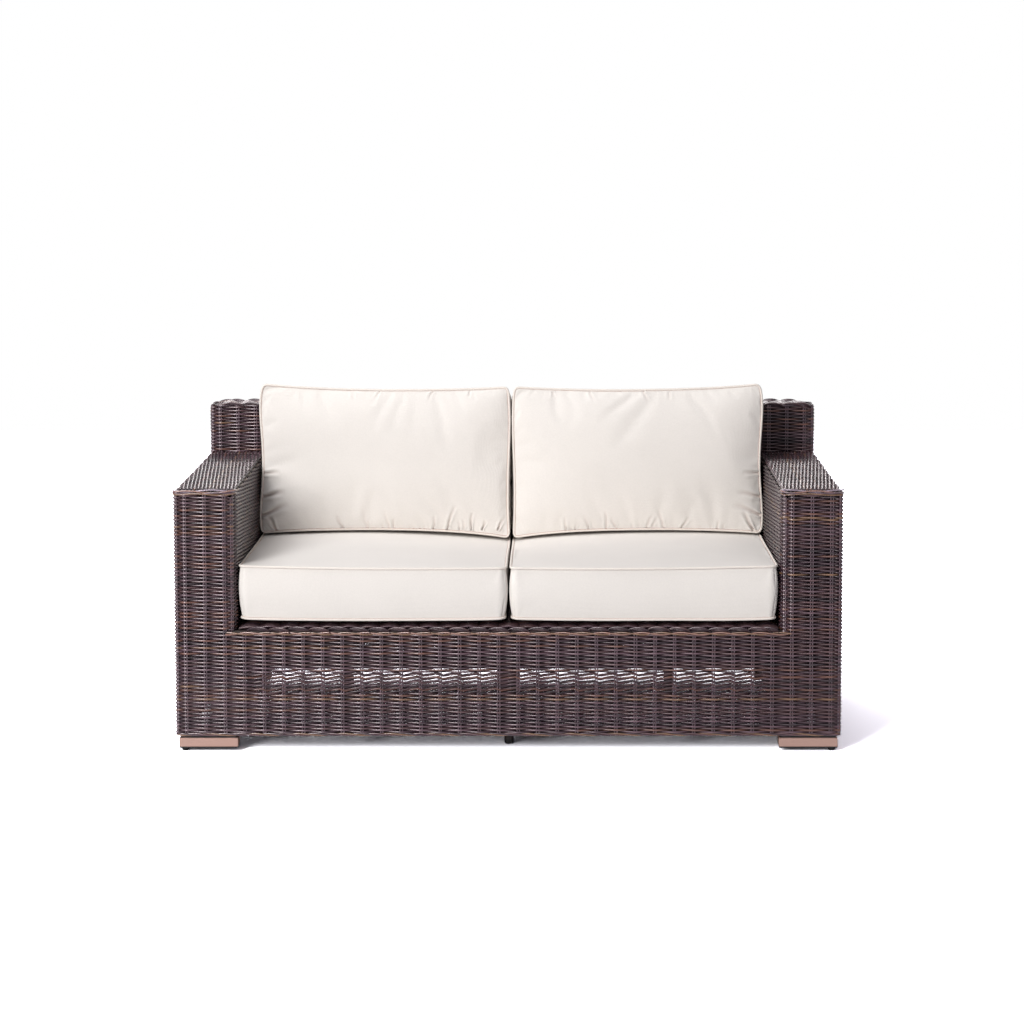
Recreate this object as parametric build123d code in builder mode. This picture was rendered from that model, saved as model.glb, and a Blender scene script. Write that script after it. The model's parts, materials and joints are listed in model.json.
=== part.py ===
from build123d import *
import os

os.makedirs("parts", exist_ok=True)

# Patio loveseat, in millimetres. Seen from the front, X runs left to right, Y runs from
# the front to the back and Z runs up. The origin is on the floor under the middle.

# Driving dimensions of the whole seat
overall_width = 1700
overall_depth = 900
arm_width = 163
arm_height = 674
back_rise = 135
back_thickness = 105
deck_height = 322

# Woven skin and its borders
weave = 12
skin_edge_radius = 10
back_corner_radius = 22
roll_diameter = 12
roll_below_deck = 2
border_height = 9
skin_gap = 0.3

# Welded frame of square tube, with a round leg under its middle
tube = 25
tube_wall = 1.5
weld_gap = 0.2
apron_post_place = 407
apron_post_gap = 2
seat_bar_pitch = 230
seat_bars_each_side = 2
back_post_place = 275
leg_diameter = 25
leg_wall = 2
leg_setback = 100
leg_glide_height = 12
leg_glide_chamfer = 4
leg_spigot = 10

# Feet, from the floor up: glide, pad, block and spacer
foot_length = 150
foot_depth = 50
foot_height = 23
foot_wall = 3
foot_inset = 12
foot_setback = 5
foot_edge_chamfer = 1.5
spacer_height = 4
spacer_margin = 5
pad_height = 3
pad_margin = 1
glide_height = 9.5
glide_diameter = 20
glide_edge_chamfer = 1.5
glide_place = 14
stud_diameter = 8
stud_length = 16
nut_height = 6
nut_across_flats = 13
nut_sides = 6
running_gap = 0.05

# Hexagon-head screws that hold each foot to the base rail, and the hexagonal inserts that
# they turn into. Hidden shanks and their holes are drawn with a few flat sides.
screw_diameter = 6
screw_length = 20
screw_pitch = 60
screw_gap = 0.4
screw_head_across_flats = 10
screw_head_height = 4
insert_across_flats = 9
insert_length = 14
hole_sides = 12

# Cushions, both kinds
cushion_gap = 1.3
stand_gap = 0.3
cover_thickness = 1.5
core_gap = 0.3
welt_diameter = 6.4
welt_section_shares = ((0.5, -1), (1, 0), (0.5, 1))
seam_corner = 28
side_steps = 4
corner_steps = 3
boxing_bulge = 4
crown_size_shares = (0.86, 0.48)
crown_rise_shares = (0.6, 1)
zip_width = 28
zip_thickness = 1.2
zip_end_margin = 60
coil_width = 4
coil_height = 1.5
slider_length = 16
slider_width = 9
slider_roof = 1
slider_gap = 0.3
pull_length = 12
pull_width = 5

# Seat cushion
seat_bottom_crown = 11
seat_boxing = 136
seat_top_crown = 8
seat_draw = 5
seat_front_gap = 1

# Back cushion
back_cushion_height = 379
back_rear_crown = 19
back_boxing = 185
back_front_crown = 30
back_side_draw = 6
back_top_draw = 14
back_wall_gap = 1
back_zip_setback = 40

# Planes that the sizes above give
back_height = arm_height + back_rise
side_x = overall_width / 2
front_y = -overall_depth / 2
rear_y = overall_depth / 2
arm_inner_x = side_x - arm_width
back_face_y = rear_y - back_thickness
wicker_bottom = glide_height + pad_height + foot_height + spacer_height
skin_bottom = wicker_bottom + border_height
frame_side_x = side_x - weave
frame_front_y = front_y + weave
frame_rear_y = rear_y - weave
frame_inner_x = arm_inner_x + weave
frame_back_y = back_face_y + weave
arm_frame_top = arm_height - weave
back_frame_top = back_height - weave
deck_low = deck_height - weave

# Middles of the frame's tubes
half_tube = tube / 2
outer_tube_x = frame_side_x - half_tube
inner_tube_x = frame_inner_x + half_tube
seat_side_tube_x = frame_inner_x - half_tube
front_tube_y = frame_front_y + half_tube
rear_tube_y = frame_rear_y - half_tube
back_tube_y = frame_back_y + half_tube
base_tube_z = wicker_bottom + half_tube
seat_tube_z = deck_low - half_tube
arm_tube_z = arm_frame_top - half_tube
back_tube_z = back_frame_top - half_tube


def save(piece, name):
    """Labels a finished piece and writes it."""
    piece.part.label = name
    export_step(piece.part, f"parts/{name}.step")


def tube_section(across, up):
    """The square tube's hollow section, its middle at a point of the sketch."""
    with Locations((across, up)):
        Rectangle(tube, tube)
        Rectangle(tube - 2 * tube_wall, tube - 2 * tube_wall, mode=Mode.SUBTRACT)


def tube_along_x(x_from, x_to, y, z):
    """A tube from left to right, each end held back by the weld gap."""
    with BuildSketch(Plane.YZ.offset(x_from + weld_gap)) as section:
        tube_section(y, z)
    extrude(section.sketch, amount=x_to - x_from - 2 * weld_gap)


def tube_along_y(y_from, y_to, x, z):
    """A tube from front to back, each end held back by the weld gap."""
    with BuildSketch(Plane.XZ.offset(weld_gap - y_to)) as section:
        tube_section(x, z)
    extrude(section.sketch, amount=y_to - y_from - 2 * weld_gap)


def tube_along_z(z_from, z_to, x, y):
    """An upright tube, each end held back by the weld gap."""
    with BuildSketch(Plane.XY.offset(z_from + weld_gap)) as section:
        tube_section(x, y)
    extrude(section.sketch, amount=z_to - z_from - 2 * weld_gap)


def block(x_span, y_span, z_span, mode=Mode.ADD):
    """A box given by its two ends along each axis."""
    with BuildSketch(Plane.XY.offset(z_span[0])) as base:
        with Locations(((x_span[0] + x_span[1]) / 2, (y_span[0] + y_span[1]) / 2)):
            Rectangle(x_span[1] - x_span[0], y_span[1] - y_span[0])
    extrude(base.sketch, amount=z_span[1] - z_span[0], mode=mode)


def drum(x, y, z_span, diameter, mode=Mode.ADD):
    """An upright cylinder given by its middle, its ends and its diameter."""
    with BuildSketch(Plane.XY.offset(z_span[0])) as base:
        with Locations((x, y)):
            Circle(diameter / 2)
    extrude(base.sketch, amount=z_span[1] - z_span[0], mode=mode)


def prism(spots, z_span, across_flats, sides, mode=Mode.ADD):
    """Upright prisms with flat sides, one on each spot."""
    with BuildSketch(Plane.XY.offset(z_span[0])) as base:
        with Locations(spots):
            RegularPolygon(across_flats / 2, sides, major_radius=False)
    extrude(base.sketch, amount=z_span[1] - z_span[0], mode=mode)


# Places of the feet, their screws and their glides: outer end towards the seat's side
foot_x = side_x - foot_inset - foot_length / 2
foot_y = front_y + foot_setback + foot_depth / 2
foot_spots = {
    "front_left": (-1, -1),
    "front_right": (1, -1),
    "rear_left": (-1, 1),
    "rear_right": (1, 1),
}
glide_x = side_x - foot_inset - glide_place
screw_y = front_tube_y
screw_xs = (foot_x - screw_pitch / 2, foot_x + screw_pitch / 2)
screw_spots = [(sx * x, -sy * screw_y) for sx, sy in foot_spots.values() for x in screw_xs]
pad_low = glide_height
foot_low = pad_low + pad_height
foot_top = foot_low + foot_height

# Frame: four rails round the foot of the wicker, drilled below for the feet's inserts
with BuildPart() as base_rails:
    for y in (front_tube_y, rear_tube_y):
        tube_along_x(-frame_side_x, frame_side_x, y, base_tube_z)
    for x in (-outer_tube_x, outer_tube_x):
        tube_along_y(front_tube_y + half_tube, rear_tube_y - half_tube, x, base_tube_z)
    insert_hole = insert_across_flats + 2 * running_gap
    prism(screw_spots, (foot_top, base_tube_z), insert_hole, nut_sides, Mode.SUBTRACT)
save(base_rails, "base_rails")

# Frame: bars across the base, under the middle and under each arm's inner side
with BuildPart() as base_cross_bars:
    for x in (-inner_tube_x, 0, inner_tube_x):
        tube_along_y(front_tube_y + half_tube, rear_tube_y - half_tube, x, base_tube_z)
save(base_cross_bars, "base_cross_bars")

# Frame: the seat's rails, and the bars that its deck lies on
with BuildPart() as seat_rails:
    for y in (front_tube_y, back_tube_y):
        tube_along_x(-frame_inner_x, frame_inner_x, y, seat_tube_z)
    for x in (-seat_side_tube_x, seat_side_tube_x):
        tube_along_y(front_tube_y + half_tube, frame_back_y, x, seat_tube_z)
save(seat_rails, "seat_rails")

with BuildPart() as seat_cross_bars:
    for place in range(-seat_bars_each_side, seat_bars_each_side + 1):
        bar_x = place * seat_bar_pitch
        tube_along_y(front_tube_y + half_tube, frame_back_y, bar_x, seat_tube_z)
save(seat_cross_bars, "seat_cross_bars")

# Frame: short posts under the seat's front rail, a pair in the middle and one each side
middle_post_x = (tube + apron_post_gap) / 2
with BuildPart() as apron_posts:
    for x in (-apron_post_place, -middle_post_x, middle_post_x, apron_post_place):
        tube_along_z(base_tube_z + half_tube, seat_tube_z - half_tube, x, front_tube_y)
save(apron_posts, "apron_posts")

# Frame: each arm has two front posts, two rails along its top and ties between them
arm_tie_ys = (front_tube_y + tube, (front_tube_y + back_tube_y) / 2, back_face_y - tube)
for side, side_name in ((-1, "left"), (1, "right")):
    with BuildPart() as arm_frame:
        for x in (outer_tube_x, inner_tube_x):
            tube_along_z(
                base_tube_z + half_tube, arm_tube_z - half_tube, side * x, front_tube_y
            )
        tube_along_y(frame_front_y, rear_tube_y - half_tube, side * outer_tube_x, arm_tube_z)
        tube_along_y(frame_front_y, frame_back_y, side * inner_tube_x, arm_tube_z)
        tie_ends = sorted((side * (inner_tube_x + half_tube), side * (outer_tube_x - half_tube)))
        for y in arm_tie_ys:
            tube_along_x(tie_ends[0], tie_ends[1], y, arm_tube_z)
    save(arm_frame, f"{side_name}_arm_frame")

# Frame: the back's posts stand in a front plane and a rear plane
back_post_top = back_tube_z - half_tube
with BuildPart() as back_posts:
    for x in (-outer_tube_x, -back_post_place, back_post_place, outer_tube_x):
        tube_along_z(base_tube_z + half_tube, back_post_top, x, rear_tube_y)
    for x in (-inner_tube_x, inner_tube_x):
        tube_along_z(base_tube_z + half_tube, back_post_top, x, back_tube_y)
    for x in (-back_post_place, back_post_place):
        tube_along_z(deck_low, back_post_top, x, back_tube_y)
    tube_along_z(base_tube_z + half_tube, seat_tube_z - half_tube, 0, back_tube_y)
save(back_posts, "back_posts")

# Frame: the back's two top rails, and the short ties that join the two planes
with BuildPart() as back_rails:
    for y in (back_tube_y, rear_tube_y):
        tube_along_x(-frame_side_x, frame_side_x, y, back_tube_z)
save(back_rails, "back_rails")

with BuildPart() as back_ties:
    for x in (-outer_tube_x, -back_post_place, back_post_place, outer_tube_x):
        tube_along_y(back_tube_y + half_tube, rear_tube_y - half_tube, x, back_tube_z)
    for x in (-back_post_place, back_post_place):
        tube_along_y(back_tube_y + half_tube, rear_tube_y - half_tube, x, seat_tube_z)
save(back_ties, "back_ties")

# Round leg under the middle bar, and the plastic glide pushed into its end
leg_y = front_y + leg_setback
leg_bore = leg_diameter - 2 * leg_wall
with BuildPart() as middle_leg:
    drum(0, leg_y, (leg_glide_height, wicker_bottom - weld_gap), leg_diameter)
    prism([(0, leg_y)], (leg_glide_height, wicker_bottom), leg_bore, hole_sides, Mode.SUBTRACT)
save(middle_leg, "middle_leg")

with BuildPart() as middle_glide:
    drum(0, leg_y, (0, leg_glide_height), leg_diameter)
    chamfer(middle_glide.edges().group_by(Axis.Z)[0], leg_glide_chamfer)
    spigot_span = (leg_glide_height, leg_glide_height + leg_spigot)
    prism([(0, leg_y)], spigot_span, leg_bore - 2 * running_gap, hole_sides)
save(middle_glide, "middle_glide")

# Woven skin of each arm: outer side, front, top and inner side, open below and behind
for side, side_name in ((-1, "left"), (1, "right")):
    outer_span = sorted((side * arm_inner_x, side * side_x))
    inner_span = sorted((side * frame_inner_x, side * frame_side_x))
    wall_span = sorted((side * arm_inner_x, side * frame_inner_x))
    with BuildPart() as arm_weave:
        block(outer_span, (front_y, back_face_y), (skin_bottom, arm_height))
        outer_front_edge = arm_weave.edges().filter_by(Axis.Z).group_by(Axis.Y)[0]
        long_top_edges = arm_weave.edges().filter_by(Axis.Y).group_by(Axis.Z)[-1]
        front_top_edge = arm_weave.edges().filter_by(Axis.X).group_by(Axis.Z)[-1].sort_by(Axis.Y)[0]
        fillet(outer_front_edge + long_top_edges + [front_top_edge], skin_edge_radius)
        block(inner_span, (frame_front_y, back_face_y), (skin_bottom, arm_frame_top), Mode.SUBTRACT)
        block(wall_span, (frame_front_y, back_face_y), (skin_bottom, deck_low), Mode.SUBTRACT)
    save(arm_weave, f"{side_name}_arm_weave")

# Woven skin of the back: rear, sides, top and the sitter's side, open below
with BuildPart() as back_weave:
    block((-side_x, side_x), (back_face_y + skin_gap, rear_y), (skin_bottom, back_height))
    back_top_side_edges = back_weave.edges().filter_by(Axis.Y).group_by(Axis.Z)[-1]
    fillet(back_top_side_edges, back_corner_radius)
    back_top_long_edges = back_weave.edges().filter_by(Axis.X).group_by(Axis.Z)[-1]
    rear_upright_edges = back_weave.edges().filter_by(Axis.Z).group_by(Axis.Y)[-1]
    fillet(back_top_long_edges + rear_upright_edges, skin_edge_radius)
    block(
        (-frame_side_x, frame_side_x),
        (frame_back_y, frame_rear_y),
        (skin_bottom, back_frame_top),
        Mode.SUBTRACT,
    )
    block(
        (-frame_side_x, frame_side_x),
        (back_face_y, frame_back_y),
        (skin_bottom, deck_height + skin_gap),
        Mode.SUBTRACT,
    )
    for side in (-1, 1):
        block(
            sorted((side * frame_inner_x, side * frame_side_x)),
            (back_face_y, frame_back_y),
            (skin_bottom, arm_frame_top),
            Mode.SUBTRACT,
        )
save(back_weave, "back_weave")

# Woven apron below the seat's front, with the scalloped roll that finishes its top
apron_top = deck_height - roll_below_deck - roll_diameter
apron_half = arm_inner_x - skin_gap
with BuildPart() as front_apron_weave:
    block((-apron_half, apron_half), (front_y, frame_front_y), (skin_bottom, apron_top))
save(front_apron_weave, "front_apron_weave")

with BuildPart() as seat_front_roll:
    with BuildSketch(Plane.YZ.offset(-apron_half)):
        with Locations((front_y + roll_diameter / 2, apron_top + roll_diameter / 2)):
            Circle(roll_diameter / 2)
    extrude(amount=2 * apron_half)
save(seat_front_roll, "seat_front_roll")

# Woven deck that the seat cushions lie on
with BuildPart() as seat_deck_weave:
    block(
        (-apron_half, apron_half),
        (frame_front_y + skin_gap, frame_back_y),
        (deck_low, deck_height),
    )
save(seat_deck_weave, "seat_deck_weave")

# Border of twisted strands round the foot of the wicker
with BuildPart() as base_border:
    with BuildSketch(Plane.XY.offset(wicker_bottom)):
        RectangleRounded(overall_width, overall_depth, skin_edge_radius)
        Rectangle(2 * frame_side_x, 2 * frame_rear_y, mode=Mode.SUBTRACT)
    extrude(amount=border_height)
save(base_border, "base_border")

# Foot blocks: metal covers, open below, with clearance holes for the screws
head_seat = foot_top - foot_wall
screw_hole = screw_diameter + 2 * screw_gap
for foot_name, (side, end) in foot_spots.items():
    with BuildPart() as foot_block:
        with BuildSketch(Plane.XY.offset(foot_low)):
            with Locations((side * foot_x, -end * foot_y)):
                Rectangle(foot_length, foot_depth)
        extrude(amount=foot_height)
        chamfer(foot_block.edges(), foot_edge_chamfer)
        with BuildSketch(Plane.XY.offset(foot_low)):
            with Locations((side * foot_x, -end * foot_y)):
                Rectangle(foot_length - 2 * foot_wall, foot_depth - 2 * foot_wall)
        extrude(amount=foot_height - foot_wall, mode=Mode.SUBTRACT)
        foot_screw_spots = [(side * x, -end * screw_y) for x in screw_xs]
        prism(foot_screw_spots, (head_seat, foot_top), screw_hole, hole_sides, Mode.SUBTRACT)
    save(foot_block, f"{foot_name}_foot")

# Spacers between the blocks and the frame
foot_middles = [(sx * foot_x, -sy * foot_y) for sx, sy in foot_spots.values()]
with BuildPart() as foot_spacers:
    with BuildSketch(Plane.XY.offset(foot_top)):
        with Locations(foot_middles):
            Rectangle(foot_length - 2 * spacer_margin, foot_depth - 2 * spacer_margin)
        with Locations(screw_spots):
            RegularPolygon(screw_hole / 2, hole_sides, major_radius=False, mode=Mode.SUBTRACT)
    extrude(amount=spacer_height)
save(foot_spacers, "foot_spacers")

# Pads that close the blocks below, each with a hole for its glide's stud
glide_spots = [(sx * glide_x, -sy * foot_y) for sx, sy in foot_spots.values()]
pad_hole = stud_diameter + 2 * screw_gap
with BuildPart() as foot_pads:
    with BuildSketch(Plane.XY.offset(pad_low)):
        with Locations(foot_middles):
            Rectangle(foot_length - 2 * pad_margin, foot_depth - 2 * pad_margin)
        with Locations(glide_spots):
            RegularPolygon(pad_hole / 2, hole_sides, major_radius=False, mode=Mode.SUBTRACT)
    extrude(amount=pad_height)
save(foot_pads, "foot_pads")

# Nuts that the glides' studs turn in, on the pads and inside the blocks
nut_span = (foot_low, foot_low + nut_height)
with BuildPart() as glide_nuts:
    prism(glide_spots, nut_span, nut_across_flats, nut_sides)
    prism(glide_spots, nut_span, stud_diameter + 2 * running_gap, hole_sides, Mode.SUBTRACT)
save(glide_nuts, "glide_nuts")

# Glides that screw in and out to level the seat
for foot_name, (side, end) in foot_spots.items():
    with BuildPart() as glide:
        glide_spot = (side * glide_x, -end * foot_y)
        drum(*glide_spot, (0, glide_height), glide_diameter)
        chamfer(glide.edges().group_by(Axis.Z)[0], glide_edge_chamfer)
        stud_span = (glide_height, glide_height + stud_length)
        prism([glide_spot], stud_span, stud_diameter, hole_sides)
    save(glide, f"{foot_name}_glide")

# Screws through the blocks and spacers, and the inserts in the rails that hold them
with BuildPart() as foot_screws:
    head_span = (head_seat - screw_head_height, head_seat)
    prism(screw_spots, head_span, screw_head_across_flats, nut_sides)
    shank_span = (head_seat, head_seat + screw_length)
    prism(screw_spots, shank_span, screw_diameter, hole_sides)
save(foot_screws, "foot_screws")

insert_span = (wicker_bottom, wicker_bottom + insert_length)
with BuildPart() as frame_inserts:
    prism(screw_spots, insert_span, insert_across_flats, nut_sides)
    prism(screw_spots, insert_span, screw_diameter + 2 * running_gap, hole_sides, Mode.SUBTRACT)
save(frame_inserts, "frame_inserts")

# Cushions. A cushion is drawn on planes across its thickness. Its low side, in each such
# plane, is straight and carries the zip, and its other sides are drawn in.
welt_reach = running_gap + welt_diameter


def drawn_side(start, end, draw):
    """Points along one side, drawn in as a shallow bow to the left of its way."""
    run = Vector(*end) - Vector(*start)
    inward = Vector(-run.Y, run.X).normalized()
    points = []
    for step in range(1, side_steps):
        share = step / side_steps
        bow = 4 * draw * share * (1 - share)
        points.append(Vector(*start) + run * share + inward * bow)
    return points


def round_corner(middle, radius, from_angle):
    """Points of a quarter circle, turning left from an angle in degrees."""
    angles = [from_angle + 90 * step / corner_steps for step in range(corner_steps + 1)]
    return [Vector(*middle) + Vector(radius, 0).rotate(Axis.Z, angle) for angle in angles]


def cushion_outline(span, inset, draws):
    """Points of a cushion's outline: span is its left, right, low and high seam."""
    left = span[0] + inset
    right = span[1] - inset
    low = span[2] + inset
    high = span[3] - inset
    turn = seam_corner
    points = round_corner((right - turn, low + turn), turn, -90)
    points += drawn_side((right, low + turn), (right, high - turn), draws[0])
    points += round_corner((right - turn, high - turn), turn, 0)
    points += drawn_side((right - turn, high), (left + turn, high), draws[1])
    points += round_corner((left + turn, high - turn), turn, 90)
    points += drawn_side((left, high - turn), (left, low + turn), draws[0])
    points += round_corner((left + turn, low + turn), turn, 180)
    return points


def resized(points, middle, ratio):
    """The same outline made larger or smaller about a point, so that its sides stay parallel."""
    return [middle + (point - middle) * ratio for point in points]


def outline_sketch(plane, level, points):
    """A closed sketch through points, on the plane moved to a level."""
    with BuildSketch(plane.offset(level)) as section:
        with BuildLine():
            Polyline(*points, close=True)
        make_face()
    return section.sketch


def flat_sided_solid(levels):
    """A closed solid of flat faces through outlines whose sides are parallel."""
    faces = [Face(Wire.make_polygon(levels[0])), Face(Wire.make_polygon(levels[-1]))]
    for low, high in zip(levels, levels[1:]):
        for turn in range(len(low)):
            corners = [low[turn - 1], low[turn], high[turn], high[turn - 1]]
            faces.append(Face(Wire.make_polygon(corners)))
    return Solid(Shell(faces))


def cushion_form(plane, span, depths, draws, shrink, mode=Mode.ADD):
    """A crowned cushion through its levels, drawn in by shrink on every side."""
    start, low_crown, boxing, high_crown = depths
    half_width = (span[1] - span[0]) / 2
    half_height = (span[3] - span[2]) / 2
    low_middle = Vector(span[0] + half_width, span[2])
    middle = low_middle + Vector(0, half_height)
    seam = cushion_outline(span, 0, draws)
    seam = resized(seam, middle, 1 - shrink / half_height)
    bulged = resized(seam, low_middle, 1 + boxing_bulge / half_width)
    seam_low = start + low_crown
    seam_high = seam_low + boxing
    shares = list(zip(crown_size_shares, crown_rise_shares))
    rings = []
    for size_share, rise_share in reversed(shares):
        level = seam_low - low_crown * rise_share + shrink
        rings.append((level, resized(seam, middle, size_share)))
    rings.append((seam_low + shrink, seam))
    rings.append((seam_low + boxing / 2, bulged))
    rings.append((seam_high - shrink, seam))
    for size_share, rise_share in shares:
        level = seam_high + high_crown * rise_share - shrink
        rings.append((level, resized(seam, middle, size_share)))
    levels = []
    for level, points in rings:
        placed = plane.offset(level)
        levels.append([placed.from_local_coords(point) for point in points])
    add(flat_sided_solid(levels), mode=mode)


def welt_half(plane, span, draws, level, way, mode):
    """Adds a disc with the welt's outer edge, or with way -1 takes away one with its inner."""
    radius = welt_diameter / 2
    sections = []
    for across_share, along_share in welt_section_shares:
        inset = radius - welt_reach - way * radius * across_share
        points = cushion_outline(span, inset, draws)
        sections.append(outline_sketch(plane, level + radius * along_share, points))
    loft(sections, ruled=True, mode=mode)


def add_cushion(name, plane, span, depths, draws, zip_level):
    """Writes one cushion's cover, core, welts, zip and slider."""
    with BuildPart() as cover:
        cushion_form(plane, span, depths, draws, 0)
        cushion_form(plane, span, depths, draws, cover_thickness, Mode.SUBTRACT)
    save(cover, f"{name}_cover")

    with BuildPart() as core:
        cushion_form(plane, span, depths, draws, cover_thickness + core_gap)
    save(core, f"{name}_core")

    start, low_crown, boxing, _ = depths
    with BuildPart() as welts:
        for level in (start + low_crown, start + low_crown + boxing):
            welt_half(plane, span, draws, level, 1, Mode.ADD)
            welt_half(plane, span, draws, level, -1, Mode.SUBTRACT)
    save(welts, f"{name}_welts")

    zip_left = span[0] + zip_end_margin
    zip_middle = (span[0] + span[1]) / 2
    tape_face = span[2] - zip_thickness
    coil_face = tape_face - coil_height
    with BuildPart() as zip_tape:
        with BuildSketch(plane.offset(zip_level - zip_width / 2)):
            with Locations((zip_middle, tape_face + zip_thickness / 2)):
                Rectangle(2 * (zip_middle - zip_left), zip_thickness)
        extrude(amount=zip_width)
        with BuildSketch(plane.offset(zip_level - coil_width / 2)):
            with Locations((zip_middle, coil_face + coil_height / 2)):
                Rectangle(2 * (zip_middle - zip_left), coil_height)
        extrude(amount=coil_width)
    save(zip_tape, f"{name}_zip")

    roof_low = coil_face - slider_gap
    roof_face = roof_low - slider_roof
    slider_height = tape_face - slider_gap - roof_face
    slider_left = zip_left + slider_gap
    slot_width = coil_width + 2 * slider_gap
    with BuildPart() as slider:
        with BuildSketch(plane.offset(zip_level - slider_width / 2)):
            with Locations((slider_left + slider_length / 2, roof_face + slider_height / 2)):
                Rectangle(slider_length, slider_height)
        extrude(amount=slider_width)
        with BuildSketch(plane.offset(zip_level - slot_width / 2)):
            with Locations((slider_left + slider_length / 2, roof_low + slider_height / 2)):
                Rectangle(slider_length, slider_height)
        extrude(amount=slot_width, mode=Mode.SUBTRACT)
        with BuildSketch(plane.offset(zip_level - pull_width / 2)):
            pull_middle = slider_left + slider_length + pull_length / 2
            with Locations((pull_middle, roof_face + slider_roof / 2)):
                Rectangle(pull_length, slider_roof)
        extrude(amount=pull_width)
    save(slider, f"{name}_zip_slider")


# Where the cushions lie: seams stand back from what is beside them by the welt's reach
seam_outer_x = arm_inner_x - cushion_gap - welt_reach
seam_inner_x = cushion_gap + welt_reach
seat_front_seam_y = front_y + seat_front_gap + welt_reach
seat_rear_seam_y = back_face_y - cushion_gap - welt_reach
seat_low = deck_height + stand_gap
seat_top = seat_low + seat_bottom_crown + seat_boxing + seat_top_crown
back_low_seam = seat_top + stand_gap + welt_reach
back_high_seam = back_low_seam + back_cushion_height
back_start = back_wall_gap - back_face_y

# The seat's planes face up and are turned so that their low side is the rear
seat_plane = Plane(origin=(0, 0, 0), x_dir=(-1, 0, 0), z_dir=(0, 0, 1))
seat_depths = (seat_low, seat_bottom_crown, seat_boxing, seat_top_crown)
seat_draws = (seat_draw, seat_draw)
seat_zip_level = seat_low + seat_bottom_crown + seat_boxing / 2

# The back's planes face the front, and their low side is the bottom
back_plane = Plane.XZ
back_depths = (back_start, back_rear_crown, back_boxing, back_front_crown)
back_draws = (back_side_draw, back_top_draw)
back_zip_level = back_start + back_rear_crown + back_zip_setback

for side, side_name in ((-1, "left"), (1, "right")):
    seat_xs = sorted((-side * seam_outer_x, -side * seam_inner_x))
    seat_span = (*seat_xs, -seat_rear_seam_y, -seat_front_seam_y)
    add_cushion(
        f"seat_cushion_{side_name}", seat_plane, seat_span, seat_depths, seat_draws, seat_zip_level
    )
    back_xs = sorted((side * seam_outer_x, side * seam_inner_x))
    back_span = (*back_xs, back_low_seam, back_high_seam)
    add_cushion(
        f"back_cushion_{side_name}", back_plane, back_span, back_depths, back_draws, back_zip_level
    )
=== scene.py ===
import json
import math

import bpy
import numpy as np
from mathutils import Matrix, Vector


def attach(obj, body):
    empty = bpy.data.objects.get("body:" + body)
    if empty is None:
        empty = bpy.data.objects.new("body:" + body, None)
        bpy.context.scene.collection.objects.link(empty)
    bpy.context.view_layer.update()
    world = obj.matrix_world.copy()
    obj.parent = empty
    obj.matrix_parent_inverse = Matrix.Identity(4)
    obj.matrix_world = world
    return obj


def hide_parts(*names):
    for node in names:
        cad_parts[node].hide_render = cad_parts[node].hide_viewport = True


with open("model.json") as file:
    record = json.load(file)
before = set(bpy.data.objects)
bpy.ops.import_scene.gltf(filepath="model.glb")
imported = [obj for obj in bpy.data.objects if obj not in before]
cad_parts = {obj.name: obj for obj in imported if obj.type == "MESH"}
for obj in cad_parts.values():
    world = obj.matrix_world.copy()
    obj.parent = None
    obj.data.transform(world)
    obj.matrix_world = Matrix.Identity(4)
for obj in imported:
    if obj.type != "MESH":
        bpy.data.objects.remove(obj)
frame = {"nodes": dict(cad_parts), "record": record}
scene = bpy.context.scene
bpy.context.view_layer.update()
nodes = frame["nodes"]
rng = np.random.default_rng(7)

# Sizes of the CAD model, in metres
side_x = 0.850
front_y = -0.450
rear_y = 0.450
arm_inner_x = 0.687
arm_top = 0.674
back_top = 0.809
back_face_y = 0.345
skin_low = 0.0485
deck_top = 0.322

# Weave: round strands over and under pairs of stakes
strand = 0.0022
deck_strand = 0.0027
stake_radius = 0.0020
stake_half_gap = 0.0029
swing = 0.0045
inset = 0.0068
row_pitch = 0.0047
deck_pitch = 0.0062
stake_pitch = 0.050

# Strands are higher than deep, and looser in the slits of the apron, where pairs of rows slant
row_height = 1.08
close_height = 1.11
loose_height = 1.05
loose_sway = 0.45
loose_slant = 0.0026
loose_pairing = 0.0009
slit_low = 0.151
slit_high = 0.206
apron_reach = arm_inner_x - 0.03

# How much higher and how much less bent the strands of a tight wall are
tight_height = 0.17
tight_sway = 0.32
arm_front_tightness = 0.7

# Leaves of the scalloped edges
scallop_length = 0.064
scallop_depth = 0.0050
scallop_drop = 0.0150

# Radius of the back's upper ends, and of the corners at the arms' tops
back_end_radius = 0.022
arm_top_radius = 0.009

# Middle planes of the woven walls
mid_x = side_x - inset
mid_y = rear_y - inset
inner_x = arm_inner_x + inset
inner_y = back_face_y + inset

# Meshes


def new_object(name, mesh, material, body="frame"):
    """An object of the scene, with its material and the body that it rides on."""
    mesh.materials.append(material)
    piece = bpy.data.objects.new(name, mesh)
    scene.collection.objects.link(piece)
    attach(piece, body)
    return piece


def mesh_from(name, points, quads, tints=None):
    """A mesh of quads, made fast from arrays."""
    mesh = bpy.data.meshes.new(name)
    mesh.vertices.add(len(points))
    mesh.vertices.foreach_set("co", np.asarray(points, dtype=np.float32).ravel())
    mesh.loops.add(quads.size)
    mesh.loops.foreach_set("vertex_index", quads.astype(np.int32).ravel())
    mesh.polygons.add(len(quads))
    mesh.polygons.foreach_set("loop_start", np.arange(0, quads.size, 4, dtype=np.int32))
    mesh.polygons.foreach_set("use_smooth", np.full(len(quads), True))
    if tints is not None:
        layer = mesh.color_attributes.new("tint", "FLOAT_COLOR", "POINT")
        layer.data.foreach_set("color", np.asarray(tints, dtype=np.float32).ravel())
    mesh.update(calc_edges=True)
    mesh.validate()
    return mesh


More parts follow.
